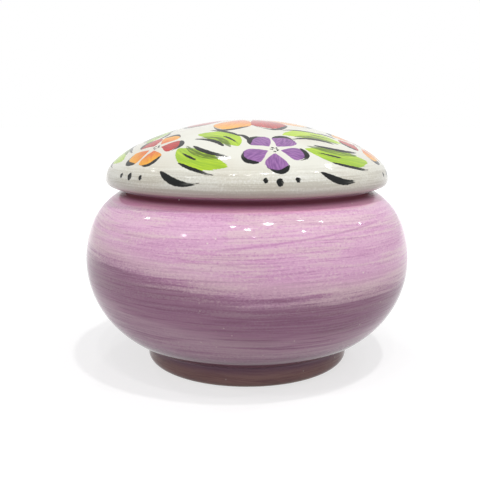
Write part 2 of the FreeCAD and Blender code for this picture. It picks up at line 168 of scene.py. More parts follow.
class Bench:
    """The nodes of one material or world, made by plain calls."""

    GLAZE_IOR = 1.33
    GLAZE_ROUGHNESS = 0.05
    DULLER_GLAZE = 0.04
    DULLER_CLAY = 0.7
    RELIEF_DEPTH = 0.03 * MM

    def __init__(self, owner: Material | bpy.types.World) -> None:
        """Clears the nodes.

        Args:
            owner: the material or world that the nodes belong to.
        """
        owner.use_nodes = True
        self.owner = owner
        self.tree = owner.node_tree
        self.tree.nodes.clear()

    def node(self, kind: str, settings: dict[str, Any], inputs: dict[int | str, Any]) -> bpy.types.Node:
        """Makes any node.

        Args:
            kind: the node's type.
            settings: its settings by name, which are set first.
            inputs: values or links of its sockets, by name or number.

        Returns:
            The new node.
        """
        made = self.tree.nodes.new(kind)
        for name, setting in settings.items():
            setattr(made, name, setting)
        for key, value in inputs.items():
            source = value.socket if isinstance(value, Value) else value
            if isinstance(source, Socket):
                self.tree.links.new(source, made.inputs[key])
            else:
                made.inputs[key].default_value = source
        return made

    def number(self, kind: str, settings: dict[str, Any], inputs: dict[int | str, Any],
               output: int | str = 0) -> Value:
        """Makes any node and returns one of its outputs as a number to reckon with."""
        return Value(self, self.node(kind, settings, inputs).outputs[output])

    def parts(self, vector: Socket) -> tuple[Value, Value, Value]:
        """Returns the three numbers of a vector."""
        outputs = self.node("ShaderNodeSeparateXYZ", {}, {0: vector}).outputs
        return tuple(Value(self, part) for part in outputs)

    def millimetres(self) -> tuple[Value, Value, Value]:
        """Returns the three coordinates of a place on the object, in millimetres."""
        coordinates = self.node("ShaderNodeTexCoord", {}, {}).outputs["Object"]
        return tuple(part / MM for part in self.parts(coordinates))

    def mark(self, name: str) -> tuple[Value, Value, Value]:
        """Returns the three numbers that a piece's vertices carry under a name."""
        return self.parts(self.node("ShaderNodeAttribute", {"attribute_name": name}, {}).outputs["Vector"])

    def carried(self, name: str) -> Value:
        """Returns the number that a piece's vertices carry under a name."""
        return self.number("ShaderNodeAttribute", {"attribute_name": name}, {}, "Fac")

    def place(self, *numbers: Value | float) -> Socket:
        """Returns a place made from three numbers."""
        return self.node("ShaderNodeCombineXYZ", {}, dict(enumerate(numbers))).outputs[0]

    def cloud(self, where: Socket, scale: float, detail: float = 2.0,
              rough: float = 0.5) -> Value:
        """Returns soft noise between about 0.2 and 0.8 at a place."""
        inputs = {"Vector": where, "Scale": scale, "Detail": detail, "Roughness": rough}
        return self.number("ShaderNodeTexNoise", {}, inputs)

    def specks(self, where: Socket, scale: float, size: float, share: float) -> Value:
        """Returns 1 inside small round specks that are strewn at random.

        Args:
            where: the place to test.
            scale: cells for each unit of the place, with at most one speck in each.
            size: a speck's radius as a share of its cell.
            share: how many of the cells hold a speck.

        Returns:
            The mask of the specks.
        """
        cells = self.node("ShaderNodeTexVoronoi", {}, {"Vector": where, "Scale": scale})
        pick = self.number("ShaderNodeSeparateColor", {}, {0: cells.outputs["Color"]})
        near = Value(self, cells.outputs["Distance"]).fall(size * 0.5, size)
        return near * pick.fall(share, share + 0.01)

    def mix(self, share: Value | float, first: Any, second: Any) -> Socket:
        """Returns the first colour where the share is 0 and the second where it is 1."""
        inputs = {"Factor": share, 6: first, 7: second}
        return self.node("ShaderNodeMix", {"data_type": "RGBA"}, inputs).outputs[2]

    def layers(self, ground: Any, *coats: tuple[Value, Any]) -> Socket:
        """Lays colours one over another.

        Args:
            ground: the lowest colour.
            coats: each further colour, after the share of it that covers what lies below.

        Returns:
            The colour that shows.
        """
        for share, colour in coats:
            ground = self.mix(share, ground, colour)
        return ground

    def fired(self, tone: Socket, shine: Value, clay: Value, relief: Value) -> Material:
        """Ends a pot's material: shining glaze, dull where the clay is bare, with a slight relief.

        Args:
            tone: the colour.
            shine: 1 where the glaze shines most.
            clay: 1 where the clay is bare.
            relief: how high the surface stands, as a share of the relief's depth.

        Returns:
            The finished material.
        """
        depth = {"Strength": 1.0, "Distance": self.RELIEF_DEPTH, "Height": relief}
        shader = self.node("ShaderNodeBsdfPrincipled", {}, {
            "Base Color": tone,
            "Roughness": self.GLAZE_ROUGHNESS + (1 - shine) * self.DULLER_GLAZE + clay * self.DULLER_CLAY,
            "IOR": self.GLAZE_IOR,
            "Normal": self.node("ShaderNodeBump", {}, depth).outputs[0],
        })
        self.node("ShaderNodeOutputMaterial", {}, {0: shader.outputs[0]})
        return self.owner


@dataclass(frozen=True)
class BareClay:
    """Fired clay without glaze, where the pots stood in the kiln: pale, dull and grainy."""

    pale: Colour = tint(214, 190, 160)
    dark: Colour = tint(178, 146, 116)
    grain: Colour = tint(132, 104, 84)

    def colour(self, bench: Bench, where: Socket) -> Socket:
        """Mixes fine grit and a few darker grains.

        Args:
            bench: the material's nodes.
            where: the place on the object.

        Returns:
            The clay's colour there.
        """
        grit = bench.cloud(where, 3.0, 4.0, 0.7).rise(0.3, 0.72)
        grains = bench.specks(where, 1.4, 0.3, 0.35)
        return bench.layers(self.dark, (grit, self.pale), (grains * 0.6, self.grain))


class Brushwork:
    """The streaks that a glaze brush leaves on a turning bowl, as noises that follow the bowl's profile.

    From broad to fine they are bands, coats and hairs, each with a scale round the bowl, a scale up it, a
    detail and a roughness. The grit breaks them up, the patches are where a coat lies thin, and the scored
    lines are single scratches. The wheel is the radius, in millimetres, that all streaks are laid on.
    """

    WHEEL = 50.0
    STREAKS = ((0.016, 0.16, 2.0, 0.5), (0.035, 0.65, 3.0, 0.6), (0.05, 1.9, 4.0, 0.75))

    def __init__(self, bench: Bench) -> None:
        """Makes the noises.

        Args:
            bench: the material's nodes.
        """
        self.bench = bench
        self.x, self.y, self.z = bench.millimetres()
        self.run = bench.carried("profile_run")
        self.where = bench.place(self.x, self.y, self.z)
        reach = ((self.x * self.x + self.y * self.y) ** 0.5).over(1.0)
        east = self.x / reach * self.WHEEL
        north = self.y / reach * self.WHEEL
        self.drift = (bench.cloud(bench.place(east, north, self.run), 0.02, 1.0) - 0.5) * 5
        height = self.run + self.drift + self.x * 0.01
        self.bands, self.coats, self.hairs = (
            bench.cloud(bench.place(east * level, north * level, height * upright), 1.0, detail, rough)
            for level, upright, detail, rough in self.STREAKS
        )
        self.grit = bench.cloud(bench.place(self.x, self.y, self.z * 1.6), 1.3, 2.0, 0.65)
        lines = bench.cloud(bench.place(east * 0.012, north * 0.012, height * 0.42 + 11), 1.0, 1.0)
        self.scored = abs(lines - 0.5).fall(0.004, 0.02)
        self.patches = bench.cloud(bench.place(east, north, self.run * 2), 0.035, 1.0).rise(0.4, 0.62)


@dataclass(frozen=True)
class CrossingStroke:
    """A dark line where the edge of one coat of glaze crosses the coat under it on a slant.

    It runs from one turn to another, in degrees rightwards from the front. Its height is the length of the
    profile at the first turn, in millimetres, its climb is for each degree, and its strength is a share of 1.
    """

    first: float
    last: float
    height: float
    climb: float
    strength: float

    def mask(self, work: Brushwork) -> Value:
        """Finds where the line is.

        Args:
            work: the bowl's brushwork.

        Returns:
            The mask of the line, fading at both ends.
        """
        turn = work.bench.number("ShaderNodeMath", {"operation": "ARCTAN2"}, {0: work.x, 1: work.y * -1})
        turn = turn * (180 / math.pi)
        ends = turn.band(self.first, self.first + 6, self.last - 20, self.last)
        run = work.run + work.drift * 0.2
        off = abs(run - self.height - (turn - self.first) * self.climb + (work.hairs - 0.5) * 0.5)
        return ends * off.fall(0.1, 0.5) * work.hairs.rise(0.2, 0.5) * self.strength


@dataclass(frozen=True)
class LilacGlaze:
    """The bowl's glaze, brushed round in thin coats on the wheel, over a white inside and a bare seat.

    The bands and fades are heights in millimetres, between which a colour comes in and goes out. The lower
    part, the neck and the root of the foot carry painted shade, and a pale low band and the neck's pink carry
    painted bounce light.
    """

    pale: Colour = tint(243, 216, 225)
    beige: Colour = tint(229, 203, 206)
    body: Colour = tint(233, 187, 217)
    deep: Colour = tint(220, 164, 203)
    line: Colour = tint(188, 126, 172)
    crossing: Colour = tint(186, 108, 172)
    # Colours of the lower part: its mauve glaze, darkened as painted shade where the belly faces down, away
    # from the lamps.
    lower: Colour = tint(166, 122, 148)
    lower_line: Colour = tint(134, 88, 116)
    lower_worn: Colour = tint(180, 150, 166)
    lower_dark_shade: Colour = tint(124, 80, 108)
    # Painted bounce light from below, over the glaze's mottling.
    lower_pale_bounce: Colour = tint(190, 164, 176)
    # Painted bounce light: a more saturated pink on the neck, in the shadow of the lid.
    neck: Colour = tint(238, 158, 196)
    # Painted shade: a dark ring on the neck under the lid's rim.
    neck_painted_shade: Colour = tint(122, 54, 78)
    # Painted shade: the belly darkens towards the root of the foot ring.
    foot_root: Colour = tint(112, 74, 92)
    foot: Colour = tint(164, 126, 118)
    foot_line: Colour = tint(136, 98, 98)
    foot_edge: Colour = tint(176, 138, 116)
    pinhole: Colour = tint(244, 234, 222)
    inside: Colour = tint(232, 228, 214)
    inside_pool: Colour = tint(224, 216, 198)
    # Where the lower part's painted shade comes in.
    lower_shade_fade: Fade = (30.7, 37.7)
    rim_band: Band = (33.2, 35.7, 36.2, 40.2)
    # The lower part's darkest band, painted shade just under its border.
    lower_shade_band: Band = (20.0, 25.0, 31.0, 36.0)
    # The pale band is painted bounce light low on the belly.
    lower_bounce_band: Band = (13.0, 16.0, 19.0, 23.0)
    # Where the neck's painted bounce light comes in.
    neck_bounce_fade: Fade = (56.2, 57.2)
    # Where the neck's painted shade lies.
    neck_shade_band: Band = (57.4, 58.8, 59.6, 60.2)
    # Where the painted shade at the foot's root comes in.
    foot_root_shade_fade: Fade = (9.5, 15.5)
    foot_fade: Fade = (3.5, 6.8)
    foot_edge_fade: Fade = (0.6, 1.6)
    crossings: tuple[CrossingStroke, ...] = (
        CrossingStroke(-12.0, 62.0, 92.4, 0.095, 0.42), CrossingStroke(-74.0, -30.0, 97.5, -0.045, 0.2),
        CrossingStroke(96.0, 150.0, 98.0, -0.09, 0.4), CrossingStroke(-160.0, -108.0, 92.0, 0.1, 0.35),
    )

    def upper_part(self, work: Brushwork) -> Socket:
        """Lays thin lilac coats, mottled and worn to beige in patches.

        Args:
            work: the bowl's brushwork.

        Returns:
            The colour of the upper part.
        """
        broad = (work.bands * 0.5 + work.coats * 0.35 + work.grit * 0.15).rise(0.36, 0.62)
        worn = (work.coats * 0.65 + work.patches * 0.14 + work.grit * 0.3).rise(0.53, 0.66)
        return work.bench.layers(
            self.deep,
            (broad, self.body),
            (worn * 0.6, self.beige),
            (work.hairs.rise(0.5, 0.68) * 0.55, self.pale),
            (work.hairs.fall(0.32, 0.5) * 0.55, self.line),
            (work.scored * work.patches * 0.25, self.line),
            (work.grit.rise(0.52, 0.74) * 0.5, self.pale),
            (work.grit.fall(0.24, 0.47) * 0.42, self.line),
            *((stroke.mask(work), self.crossing) for stroke in self.crossings),
        )

    def shaded_lower_part(self, work: Brushwork, border: Value) -> Socket:
        """Lays mauve coats darkened as painted shade, darkest just under the lower part's upper border, with
        a band of painted bounce light lower down.

        Args:
            work: the bowl's brushwork.
            border: the height in millimetres, shifted so that the upper border slopes and is ragged.

        Returns:
            The colour of the lower part.
        """
        worn = (work.coats * 0.7 + work.grit * 0.3).rise(0.5, 0.66)
        return work.bench.layers(
            self.lower_line,
            (work.hairs.rise(0.38, 0.58), self.lower),
            (worn * 0.6, self.lower_worn),
            # Painted shade, darkest just under the border.
            (border.band(*self.lower_shade_band) * 0.45, self.lower_dark_shade),
            # Painted bounce light: a paler band low on the belly.
            (border.band(*self.lower_bounce_band) * work.coats.rise(0.35, 0.55) * 0.55, self.lower_pale_bounce),
        )

    def outside(self, work: Brushwork) -> Socket:
        """Puts the outside's colours together.

        Args:
            work: the bowl's brushwork.

        Returns:
            The colour from the foot to the neck.
        """
        bench = work.bench
        # The border of the lower part's painted shade slopes lower towards the right, as the shade line of
        # light from the upper right does; below is 1 under it.
        climb = (work.x * -1).over(0.0).under(42.0) * 0.15
        ragged = (work.coats - 0.5) * 7 + (work.hairs - 0.5) * 3 + (work.grit - 0.5) * 3
        border = work.z + work.x * 0.03 - climb + work.drift * 0.25 + ragged
        below = border.fall(*self.lower_shade_fade)
        level = work.z + (work.coats - 0.5) * 2 + (work.grit - 0.5)
        ring = bench.mix(work.hairs.rise(0.3, 0.6), self.foot_line, self.foot)
        pinholes = bench.specks(work.where, 0.45, 0.14, 0.16)
        return bench.layers(
            self.upper_part(work),
            (border.band(*self.rim_band) * 0.4, self.beige),
            # Painted shade: the lower belly's darker mauve.
            (below * 0.8, self.shaded_lower_part(work, border)),
            # Painted bounce light in the lid's shadow on the neck.
            (work.z.rise(*self.neck_bounce_fade) * 0.6, self.neck),
            # Painted shade under the lid's rim.
            (work.z.band(*self.neck_shade_band) * 0.85, self.neck_painted_shade),
            # Painted shade in the crease above the foot ring.
            (level.fall(*self.foot_root_shade_fade) * 0.85, self.foot_root),
            (level.fall(*self.foot_fade) * 0.9, ring),
            (level.fall(*self.foot_edge_fade) * 0.5, self.foot_edge),
            (pinholes * (0.75 - below * 0.4), self.pinhole),
        )

    def material(self, places: "BowlPlaces") -> Material:
        """Builds the bowl's material.

        Args:
            places: where along the profile each part of the bowl begins.

        Returns:
            The finished material.
        """
        bench = Bench(bpy.data.materials.new("bowl_lilac_glaze"))
        work = Brushwork(bench)
        ripple = work.run + (bench.cloud(work.where, 0.25) - 0.5) * 0.8
        within = work.run.rise(places.mouth_line, places.mouth_line + GLAZE_EDGE)
        stand = ripple.band(places.recess_line, places.recess_line + GLAZE_EDGE,
                            places.foot_line - GLAZE_EDGE, places.foot_line)
        seat = ripple.band(places.seat_line, places.seat_line + GLAZE_EDGE,
                           places.mouth_line, places.mouth_line + GLAZE_EDGE)
        clay = stand.over(seat)
        white = bench.mix(bench.cloud(work.where, 0.06).rise(0.3, 0.7), self.inside, self.inside_pool)
        tone = bench.layers(self.outside(work), (within, white), (clay, BareClay().colour(bench, work.where)))
        grain = bench.cloud(work.where, 2.5, 3.0)
        brushed = (work.hairs * 0.08 + work.coats * 0.4) * (1 - clay)
        return bench.fired(tone, work.hairs, clay, brushed + grain * clay * 2 + work.bands * within * 5)


class Paint(Enum):
    """The pots of colour that the lid is painted with, in the order in which they go on."""

    WARM = "warm"
    PURPLE = "purple"
    LEAF = "leaf"
    SHADE = "shade"
    INK = "ink"


class Brush(Enum):
    """How a stroke's width runs: where along it it is widest (as an exponent), and how blunt its ends are."""

    LEAF = (0.9, 0.85)
    PETAL = (1.7, 0.6)
    COMMA = (0.62, 0.95)
    LINE = (0.8, 0.5)
    DAB = (1.0, 0.45)


@dataclass(frozen=True)
class Coat:
    """One pot's paint on the lid: how much there is, its streaks, the way along the stroke and its tone."""

    amount: Value
    streaks: Value
    along: Value
    tone: Value


@dataclass(frozen=True)
class WhiteGlaze:
    """The lid's warm white glaze, with the brushed colours under it.

    A paint has two colours, for where its streaks lie thick and thin. The fades are lengths of the profile.
    The colour for the lower edge is painted shade on the lid's downward-facing rounding, warmed like bounce
    light from the bowl.
    """

    white: Colour = tint(232, 232, 221)
    cream: Colour = tint(226, 223, 209)
    ring_dark: Colour = tint(192, 186, 170)
    ring_pale: Colour = tint(250, 250, 244)
    # Painted shade for the lid's downward-facing edge, warmed like bounce light from the bowl.
    underside_shade: Colour = tint(190, 178, 168)
    speck: Colour = tint(176, 160, 140)
    red: tuple[Colour, Colour] = (tint(160, 4, 10), tint(212, 20, 18))
    gold: tuple[Colour, Colour] = (tint(222, 84, 0), tint(250, 180, 4))
    violet: tuple[Colour, Colour] = (tint(120, 60, 140), tint(160, 104, 174))
    green: tuple[Colour, Colour] = (tint(150, 192, 0), tint(196, 226, 8))
    olive: Colour = tint(84, 104, 34)
    ink: tuple[Colour, Colour] = (tint(18, 21, 21), tint(92, 96, 92))
    ring_fade: Fade = (44.0, 52.0)
    relief_fade: Fade = (38.0, 52.0)
    # Where the painted shade on the lid's lower edge comes in.
    underside_shade_fade: Fade = (52.0, 57.0)

    def coat(self, bench: Bench, paint: Paint, grain: Value) -> Coat:
        """Reads one pot's strokes.

        Args:
            bench: the material's nodes.
            paint: the pot of colour.
            grain: noise that frays the edges a little.

        Returns:
            The paint, with dry ends where the brush ran out.
        """
        edge, across, along = bench.mark(f"{paint.value}_mark")
        tone = bench.carried(f"{paint.value}_tone")
        streaks = bench.cloud(bench.place(across * 2.2, along * 2.5, tone * 37), 1.0, 3.0, 0.6)
        dry = along.rise(0.45, 1.0) * (streaks - 0.42) * 2.2
        frayed = edge + (grain - 0.5) * 0.35 + dry.over(0.0)
        return Coat(frayed.fall(-0.12, 0.12), streaks, along, tone)

    def painted(self, bench: Bench, ground: Socket, grain: Value) -> Socket:
        """Lays the painting's colours over the glaze.

        Args:
            bench: the material's nodes.
            ground: the glaze's colour.
            grain: noise that frays the strokes' edges.

        Returns:
            The colour of the painted glaze.
        """
        warm, purple, leaf, shade, ink = (self.coat(bench, paint, grain) for paint in Paint)
        red = bench.mix(warm.streaks.rise(0.35, 0.7), *self.red)
        gold = bench.mix((warm.streaks * 0.6 + warm.along * 0.4).rise(0.25, 0.75), *self.gold)
        green = bench.mix((leaf.streaks * 0.8 + leaf.tone * 0.2).rise(0.35, 0.7), *self.green)
        thin = ink.along.rise(0.5, 1.0) * ink.streaks.rise(0.4, 0.7)
        return bench.layers(
            ground,
            (warm.amount * 0.96, bench.mix(warm.tone.rise(0.4, 0.6), red, gold)),
            (purple.amount * 0.94, bench.mix(purple.streaks.rise(0.35, 0.68), *self.violet)),
            (leaf.amount * 0.95, green),
            (shade.amount * shade.streaks.rise(0.3, 0.52) * 0.85, self.olive),
            (ink.amount * (1 - thin * 0.35), bench.mix(thin * 0.55, *self.ink)),
        )

    def material(self, places: "LidPlaces") -> Material:
        """Builds the lid's material.

        Args:
            places: where along the profile the lid's bare clay begins and ends.

        Returns:
            The finished material.
        """
        bench = Bench(bpy.data.materials.new("lid_white_glaze"))
        x, y, z = bench.millimetres()
        where = bench.place(x, y, z)
        run = bench.carried("profile_run")
        pool = bench.cloud(where, 0.05, 2.0)
        grain = bench.cloud(where, 1.2, 2.0)
        rings = bench.cloud(bench.place(x * 0.03, y * 0.03, run * 1.3), 1.0, 3.0, 0.7)
        sand = bench.cloud(where, 1.8, 2.0, 0.6)
        worked = run.rise(*self.ring_fade)
        glaze = bench.layers(
            self.white,
            (pool.rise(0.35, 0.65), self.cream),
            ((rings * 0.75 + sand * 0.25).fall(0.4, 0.54) * worked * 0.55, self.ring_dark),
            ((rings * 0.5 + sand * 0.5).rise(0.52, 0.64) * worked * 0.6, self.ring_pale),
            # Painted shade on the lid's downward-facing edge, warmed like bounce light from the bowl.
            (run.rise(*self.underside_shade_fade) * 0.75, self.underside_shade),
            (bench.specks(where, 0.4, 0.06, 0.25) * 0.5, self.speck),
        )
        wander = run + (grain - 0.5) * 0.8
        clay = wander.band(places.seat_line, places.seat_line + GLAZE_EDGE,
                           places.flange_line, places.flange_line + GLAZE_EDGE)
        tone = bench.layers(self.painted(bench, glaze, grain), (clay, BareClay().colour(bench, where)))
        turned = rings * run.rise(*self.relief_fade) * 1.2 + sand * worked * 0.5
        relief = turned + bench.cloud(where, 0.7, 1.0) * 0.35 + grain * clay * 1.5
        return bench.fired(tone, pool, clay, relief)


class Pen:
    """Draws half a section of a turned pot, point after point, and turns it round the upright axis."""

    SHARES = 16
    WELD = 0.01 * MM

    def __init__(self, up: float) -> None:
        """Starts on the axis.

        Args:
            up: the height of the first point.
        """
        self.mesh = bmesh.new()
        self.run = self.mesh.verts.layers.float.new("profile_run")
        self.tip = self.mesh.verts.new((0.0, 0.0, up))

    def line(self, across: float, up: float, steps: int = 1) -> None:
        """Draws straight on to a point.

        Args:
            across: the point's distance from the axis.
            up: its height.
            steps: into how many pieces the line is divided.
        """
        step = (Vector((across, 0.0, up)) - self.tip.co) / steps
        for _ in range(steps):
            self.tip = bmesh.ops.extrude_vert_indiv(self.mesh, verts=[self.tip])["verts"][0]
            bmesh.ops.translate(self.mesh, verts=[self.tip], vec=step)

    def arc(self, centre: tuple[float, float], sweep: float, steps: int) -> None:
        """Draws an arc on from the last point.

        Args:
            centre: the arc's centre, as a distance from the axis and a height.
            sweep: how far it goes in degrees, counter-clockwise where that is more than nought.
            steps: into how many pieces the arc is divided.
        """
        middle = (centre[0], 0.0, centre[1])
        made = bmesh.ops.spin(self.mesh, geom=[self.tip], cent=middle, axis=(0, -1, 0),
                              angle=math.radians(sweep), steps=steps)
        self.tip = made["geom_last"][0]

    def length(self) -> float:
        """Returns how long the profile is so far, in millimetres."""
        places = [vertex.co for vertex in self.mesh.verts]
        return sum((after - before).length for before, after in zip(places, places[1:])) / MM

    def turn(self, name: str, steps: int) -> bpy.types.Object:
        """Turns the section into a closed pot.

        Args:
            name: the new object's name.
            steps: how many steps go once round, a multiple of the shares that the turn is made in.

        Returns:
            The new object, smooth all over, with the profile's length up to each vertex in "profile_run".
        """
        self.mesh.verts.ensure_lookup_table()
        length, last = 0.0, self.mesh.verts[0].co
        for vertex in self.mesh.verts:
            length += (vertex.co - last).length / MM
            vertex[self.run] = length
            last = vertex.co
        share = math.tau / self.SHARES
        section = [*self.mesh.verts, *self.mesh.edges]
        bmesh.ops.spin(self.mesh, geom=section, cent=(0, 0, 0), axis=(0, 0, 1), angle=share,
                       steps=steps // self.SHARES)
        wedge = [*self.mesh.verts, *self.mesh.edges, *self.mesh.faces]
        bmesh.ops.spin(self.mesh, geom=wedge, cent=(0, 0, 0), axis=(0, 0, 1), angle=math.tau - share,
                       steps=self.SHARES - 1, use_duplicate=True)
        bmesh.ops.remove_doubles(self.mesh, verts=self.mesh.verts, dist=self.WELD)
        bmesh.ops.recalc_face_normals(self.mesh, faces=self.mesh.faces)
        for face in self.mesh.faces:
            face.smooth = True
        shape = bpy.data.meshes.new(name)
        self.mesh.to_mesh(shape)
        self.mesh.free()
        return put(name, shape)


def hand_turned(piece: bpy.types.Object, low: float, high: float, depth: float, seed: float) -> None:
    """Gives a pot the slight unevenness of hand work, always inwards, between two heights.

    Args:
        piece: the pot.
        low: the height where the unevenness begins.
        high: the height where it ends.
        depth: the greatest way in.
        seed: which unevenness.
    """
    for vertex in piece.data.vertices:
        place = vertex.co
        share = max(0.0, math.sin(math.pi * min(max((place.z - low) / (high - low), 0.0), 1.0)))
        spot = Vector((place.x, place.y, place.z * 2)) * DENTS_PER_METRE + Vector((seed, 0, 0))
        give = (0.5 + 0.5 * noise.noise(spot)) * depth * share
        reach = math.hypot(place.x, place.y)
        if reach > MM:
            place.x -= place.x / reach * give
            place.y -= place.y / reach * give


def dress(piece: bpy.types.Object, material: Material, node: str) -> None:
    """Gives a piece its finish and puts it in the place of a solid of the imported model.

    Args:
        piece: the new piece.
        material: its finish.
        node: the solid that it stands for, which is also the body that it rides on.
    """
    piece.data.materials.append(material)
    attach(piece, node)
    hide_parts(node)
    sides = sum(len(face.vertices) - 2 for face in piece.data.polygons)
    LOG.info("%s stands for %s: %d triangles", piece.name, node, sides)


@dataclass(frozen=True)
class BowlPlaces:
    """Where along the bowl's profile, in millimetres from its start, each glaze begins or ends."""

    recess_line: float
    foot_line: float
    seat_line: float
    mouth_line: float


@dataclass
class Bowl:
    """The squat round bowl on its foot ring.

    A wipe is the length of the profile, in millimetres, between a corner and the edge of the glaze near it.
    """

    belly_height: float = 35.9 * MM
    lower_centre: float = 23.83 * MM
    lower_round: float = 31.17 * MM
    upper_centre: float = 22.6 * MM
    upper_round: float = 32.4 * MM
    shoulder_angle: float = 22.4
    shoulder_round: float = 20.6 * MM
    wall: float = WALL
    lip_radius: float = 41.8 * MM
    seat_height: float = SEAT_HEIGHT
    mouth_radius: float = 37.5 * MM
    mouth_round: float = 1.5 * MM
    lip_round: float = 0.6 * MM
    lip_root: float = 0.5 * MM
    ridge_round: float = 0.8 * MM
    floor_height: float = 9.2 * MM
    foot_radius: float = 35.0 * MM
    foot_inner: float = 29.0 * MM
    foot_round: float = 2.6 * MM
    foot_inner_round: float = 1.2 * MM
    foot_root: float = 1.2 * MM
    recess_depth: float = 4.2 * MM
    recess_round: float = 1.5 * MM
    steps: int = 256
    uneven_low: float = 8.0 * MM
    uneven_high: float = 58.0 * MM
    unevenness: float = 0.15 * MM
    unevenness_seed: float = 3.0
    foot_wipe: float = 1.2
    lip_wipe: float = 0.3
    mouth_wipe: float = 0.6

    def touch(self, centre: tuple[float, float], reach: float, across: float,
              side: int) -> tuple[float, float]:
        """Finds where a small rounding circle sits that touches an arc and an upright line.

        Args:
            centre: the arc's centre.
            reach: the distance between the arc's centre and the small circle's.
            across: the small circle's distance from the axis.
            side: 1 where the small circle is above the arc's centre, -1 where it is below.

        Returns:
            The small circle's height, and the direction to it from the arc's centre in degrees.
        """
        rise = side * math.sqrt(reach ** 2 - (across - centre[0]) ** 2)
        return centre[1] + rise, math.degrees(math.atan2(rise, across - centre[0]))

    def shoulder_centre(self) -> tuple[float, float]:
        """Finds the centre of the shoulder's arc, which carries on smoothly from the belly's upper arc.

        Returns:
            The centre, as a distance from the axis and a height.
        """
        turn = math.radians(self.shoulder_angle)
        step = self.upper_round - self.shoulder_round
        return self.upper_centre + step * math.cos(turn), self.belly_height + step * math.sin(turn)

    def draw_foot(self, pen: Pen) -> tuple[float, float]:
        """Draws from the middle of the recess to the root of the foot ring.

        Args:
            pen: the pen, on the axis at the recess's height.

        Returns:
            The lengths of the profile where the bare standing face begins and ends.
        """
        ring_inner = self.foot_inner + self.foot_inner_round
        ring_outer = self.foot_radius - self.foot_round
        recess_corner = self.foot_inner - self.recess_round
        pen.line(recess_corner, self.recess_depth, 14)
        pen.arc((recess_corner, self.recess_depth - self.recess_round), -90, 5)
        pen.line(self.foot_inner, self.foot_inner_round, 2)
        recess_line = pen.length()
        pen.arc((ring_inner, self.foot_inner_round), 90, 4)
        pen.line(ring_outer, 0.0, 3)
        foot_line = pen.length() + self.foot_wipe
        pen.arc((ring_outer, self.foot_round), 90, 7)
        return recess_line, foot_line

    def draw_outside(self, pen: Pen) -> float:
        """Draws from the foot's side over the belly and the shoulder to the seat's outer edge.

        Args:
            pen: the pen, at the top of the foot's outer rounding.

        Returns:
            The length of the profile where the bare seat begins.
        """
        lower = (self.lower_centre, self.belly_height)
        shoulder = self.shoulder_centre()
        root = self.foot_radius + self.foot_root
        root_up, root_turn = self.touch(lower, self.lower_round + self.foot_root, root, -1)
        lip = self.lip_radius + self.lip_root
        lip_up, lip_turn = self.touch(shoulder, self.shoulder_round + self.lip_root, lip, 1)
        lip_edge = self.seat_height - self.lip_round
        pen.line(self.foot_radius, root_up, 5)
        pen.arc((root, root_up), root_turn, 4)
        pen.arc(lower, -root_turn, 48)
        pen.arc((self.upper_centre, self.belly_height), self.shoulder_angle, 16)
        pen.arc(shoulder, lip_turn - self.shoulder_angle, 20)
        pen.arc((lip, lip_up), -lip_turn, 3)
        pen.line(self.lip_radius, lip_edge)
        seat_line = pen.length() + self.lip_wipe
        pen.arc((self.lip_radius - self.lip_round, lip_edge), 90, 4)
        return seat_line

    def draw_inside(self, pen: Pen) -> float:
        """Draws from the seat through the mouth and down the inside to the middle of the floor.

        Args:
            pen: the pen, at the seat's outer edge.

        Returns:
            The length of the profile where the bare seat ends.
        """
        shoulder = self.shoulder_centre()
        ridge = self.mouth_radius + self.ridge_round
        ridge_reach = self.shoulder_round - self.wall + self.ridge_round
        ridge_up, ridge_turn = self.touch(shoulder, ridge_reach, ridge, 1)
        inner_round = self.belly_height - self.floor_height
        inner_centre = self.upper_centre + self.upper_round - self.wall - inner_round
        mouth_corner = self.mouth_radius + self.mouth_round
        pen.line(mouth_corner, self.seat_height, 3)
        mouth_line = pen.length() + self.mouth_wipe
        pen.arc((mouth_corner, self.seat_height - self.mouth_round), 90, 5)
        pen.line(self.mouth_radius, ridge_up, 3)
        pen.arc((ridge, ridge_up), ridge_turn, 4)
        pen.arc(shoulder, self.shoulder_angle - ridge_turn, 12)
        pen.arc((self.upper_centre, self.belly_height), -self.shoulder_angle, 7)
        pen.arc((inner_centre, self.belly_height), -90, 26)
        pen.line(0.0, self.floor_height, 12)
        return mouth_line

    def build(self) -> bpy.types.Object:
        """Turns the bowl and dresses it.

        Returns:
            The bowl.
        """
        pen = Pen(self.recess_depth)
        recess_line, foot_line = self.draw_foot(pen)
        seat_line = self.draw_outside(pen)
        mouth_line = self.draw_inside(pen)
        piece = pen.turn("bowl_glazed", self.steps)
        hand_turned(piece, self.uneven_low, self.uneven_high, self.unevenness, self.unevenness_seed)
        places = BowlPlaces(recess_line, foot_line, seat_line, mouth_line)
        dress(piece, LilacGlaze().material(places), "bowl")
        return piece


